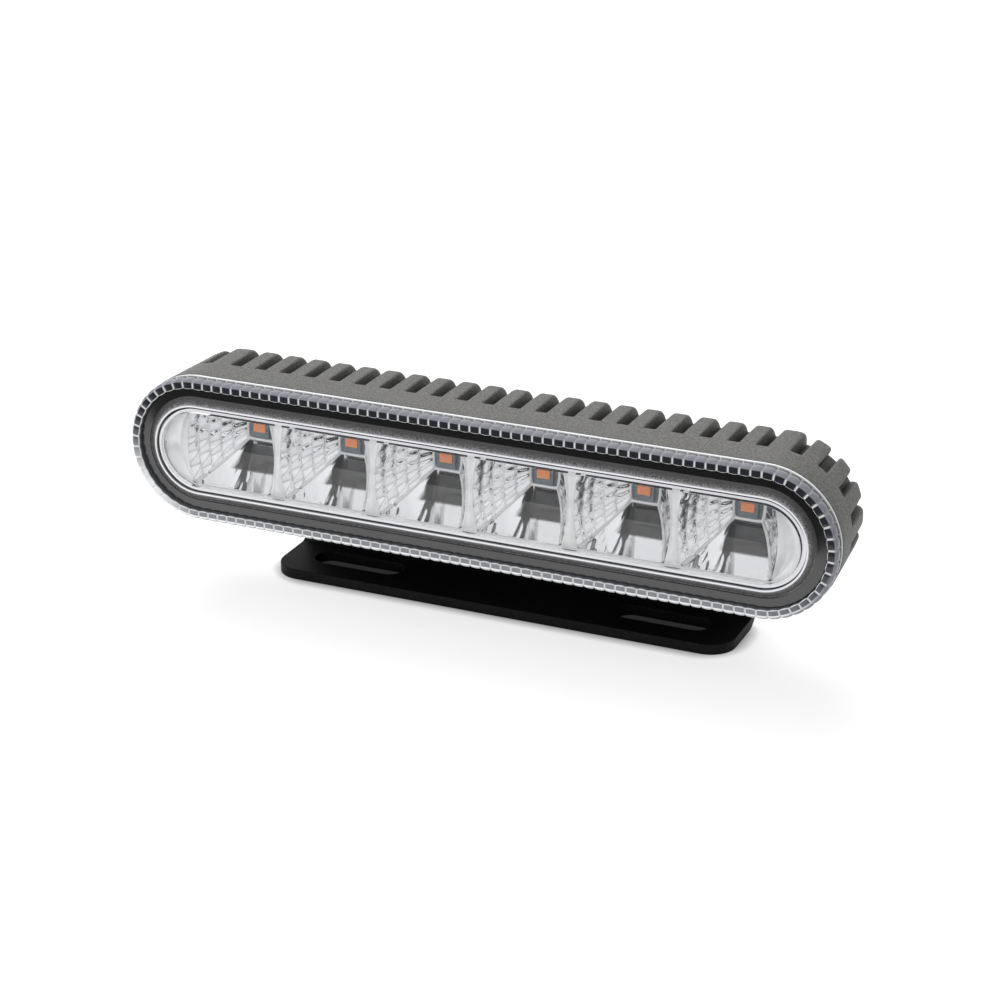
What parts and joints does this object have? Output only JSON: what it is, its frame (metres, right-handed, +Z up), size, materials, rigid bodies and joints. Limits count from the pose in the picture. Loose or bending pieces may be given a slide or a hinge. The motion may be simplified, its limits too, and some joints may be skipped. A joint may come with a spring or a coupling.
{
  "type": "warning light",
  "caption": "Slim round-ended LED warning light with a finned housing, clear prism-ring lens, faceted reflector cups and an angle bracket with slotted foot.",
  "frame": {"origin": "middle of the two mounting slots, on the underside of the bracket's foot", "axes": "+X along the lamp to its right as seen from the front, -Y the way the lens faces, +Z up"},
  "size_m": [0.135, 0.0345, 0.0415],
  "materials": {
    "powder_coat": "fine textured powder coat, dark grey",
    "bracket_black": "satin black powder coat",
    "clear_plastic": "clear polished polycarbonate",
    "black_plastic": "black moulded plastic",
    "bright_plastic": "vacuum-metallised mirror finish",
    "seal_rubber": "black silicone rubber",
    "pale_seal": "pale translucent silicone bead",
    "pad_rubber": "soft grey heat-conducting sheet",
    "board": "dark grey solder mask",
    "package": "grey ceramic-filled package",
    "emitter": "orange phosphor",
    "component": "black moulded component",
    "capacitor": "tan ceramic",
    "steel": "zinc-plated steel"
  },
  "bodies": {
    "root": {"housing": "powder_coat", "lens": "clear_plastic", "gasket": "pale_seal", "bezel": "black_plastic", "reflector": "bright_plastic", "led_board": "board", "thermal_pad": "pad_rubber", "ring_board": "board", "ring_leds": "package", "inductor": "component", "driver_chip": "component", "cable_gland": "seal_rubber", "bracket": "bracket_black", "capacitor_1": "capacitor", "capacitor_2": "capacitor", "led_1": "package", "emitter_1": "emitter", "led_2": "package", "emitter_2": "emitter", "led_3": "package", "emitter_3": "emitter", "led_4": "package", "emitter_4": "emitter", "led_5": "package", "emitter_5": "emitter", "led_6": "package", "emitter_6": "emitter", "bracket_screw_left": "steel", "washer_left": "steel", "spring_washer_left": "steel", "board_screw_left": "steel", "bracket_screw_right": "steel", "washer_right": "steel", "spring_washer_right": "steel", "board_screw_right": "steel"}
  },
  "joints": []
}
